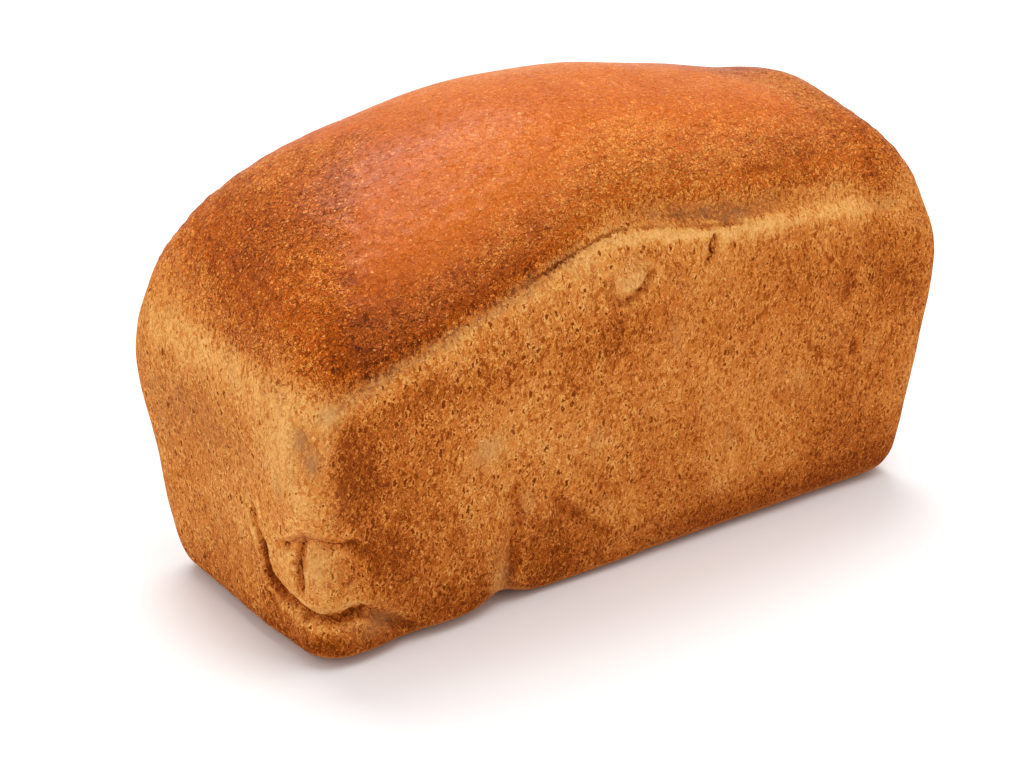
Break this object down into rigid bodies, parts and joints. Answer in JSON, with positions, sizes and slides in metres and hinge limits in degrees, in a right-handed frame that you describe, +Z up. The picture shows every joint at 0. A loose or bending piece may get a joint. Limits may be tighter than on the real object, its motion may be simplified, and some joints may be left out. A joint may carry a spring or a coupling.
{
  "type": "tin loaf",
  "caption": "Loaf of bread baked in an open tin: straight, slightly leaning walls, a risen domed top crust, a torn line between them and folded dough at a corner.",
  "frame": {"origin": "middle of the flat base, under the middle of the bounding box", "axes": "+X along the loaf, from the folded end to the plain end; -Y is the long side that shows in the picture; +Z up"},
  "size_m": [0.2524, 0.1078, 0.1536],
  "materials": {
    "crust": "baked bread crust: satin red-brown on the dome, matte porous golden brown on the walls, paler along the torn line"
  },
  "bodies": {
    "root": {"tin_loaf": "crust"}
  },
  "joints": []
}
